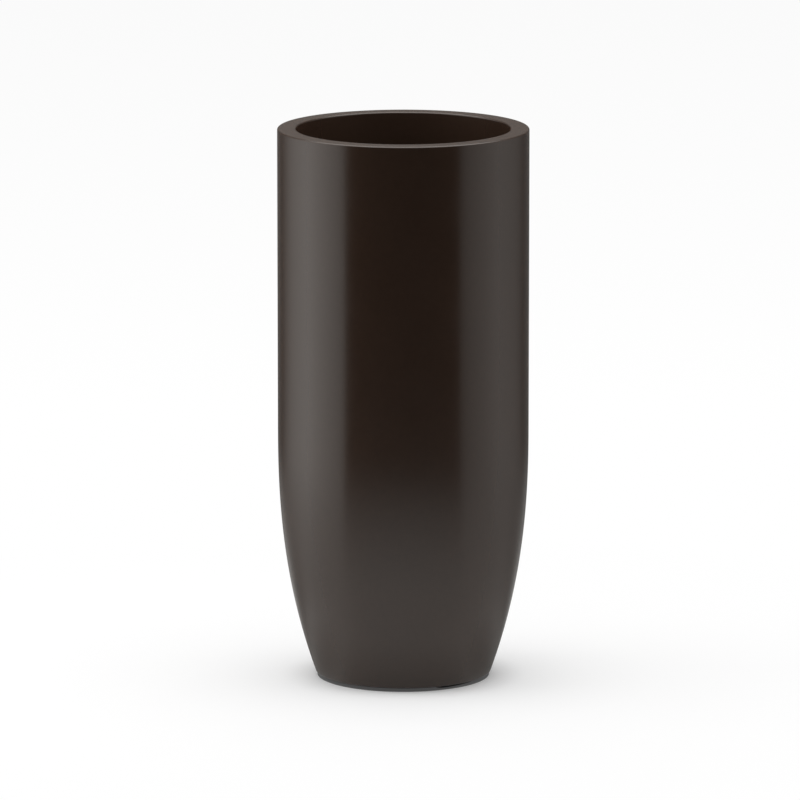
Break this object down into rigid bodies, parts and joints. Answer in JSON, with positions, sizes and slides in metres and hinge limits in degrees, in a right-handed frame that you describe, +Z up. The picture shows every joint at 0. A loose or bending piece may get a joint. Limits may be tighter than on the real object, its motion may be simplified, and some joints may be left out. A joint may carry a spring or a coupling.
{
  "type": "tall fiberglass planter",
  "caption": "Tall round fiberglass planter: straight upper body, curved taper to a narrow foot, wide turned rim, drained base on rubber pads and a lift-out drainage plate.",
  "frame": {"origin": "on the floor, on the planter's axis", "axes": "+Z up along the planter's axis, front of the picture towards -Y, +X to its right"},
  "size_m": [0.414, 0.414, 0.915],
  "materials": {
    "gelcoat": "satin dark brown gelcoat over glass laminate",
    "laminate": "brown flow-coated glass laminate",
    "plywood": "raw plywood, sealed in resin",
    "drain_plastic": "moulded black plastic",
    "plug_rubber": "moulded black rubber",
    "plate_plastic": "moulded black plastic, lightly textured",
    "pad_rubber": "moulded black rubber",
    "screw_steel": "zinc-plated steel"
  },
  "bodies": {
    "planter": {"outer_shell": "gelcoat", "rim_ring": "gelcoat", "base_core": "plywood", "base_floor": "laminate", "drain_sleeve": "drain_plastic", "support_cleat_1": "laminate", "support_cleat_2": "laminate", "support_cleat_3": "laminate", "support_cleat_4": "laminate", "foot_pad_1": "pad_rubber", "foot_pad_2": "pad_rubber", "foot_pad_3": "pad_rubber", "foot_screw_1": "screw_steel", "foot_screw_2": "screw_steel", "foot_screw_3": "screw_steel", "foot_screw_4": "screw_steel", "foot_screw_5": "screw_steel", "foot_screw_6": "screw_steel"},
    "lift_out_plate": {"drainage_plate": "plate_plastic"},
    "stopper": {"drain_plug": "plug_rubber"}
  },
  "joints": [
    {"name": "plate_lift", "type": "slide", "parent": "planter", "child": "lift_out_plate", "axis": [0, 0, 1], "range_m": [0, 0.82]},
    {"name": "stopper_pull", "type": "slide", "parent": "planter", "child": "stopper", "axis": [0, 0, 1], "range_m": [0, 0.08]}
  ]
}
